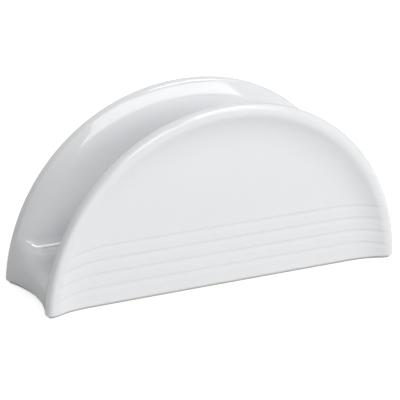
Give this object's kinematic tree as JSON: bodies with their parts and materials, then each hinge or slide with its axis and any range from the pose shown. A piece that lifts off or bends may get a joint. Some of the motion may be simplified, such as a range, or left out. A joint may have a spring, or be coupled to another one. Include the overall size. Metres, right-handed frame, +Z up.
{
  "type": "napkin holder",
  "caption": "Free-standing half-moon napkin holder in white glazed porcelain, two dished walls with an open channel between them.",
  "frame": {"origin": "on the table under the middle of the holder", "axes": "+Z up, +X along the width, +Y from the front wall to the rear wall"},
  "size_m": [0.1498, 0.0412, 0.0723],
  "materials": {
    "glaze": "clear gloss glaze over white porcelain",
    "bisque": "bare fired body, ground flat"
  },
  "bodies": {
    "root": {"front_wall": "glaze", "rear_wall": "glaze", "channel_floor": "glaze", "left_end": "glaze", "right_end": "glaze", "foot_ring": "bisque"}
  },
  "joints": []
}
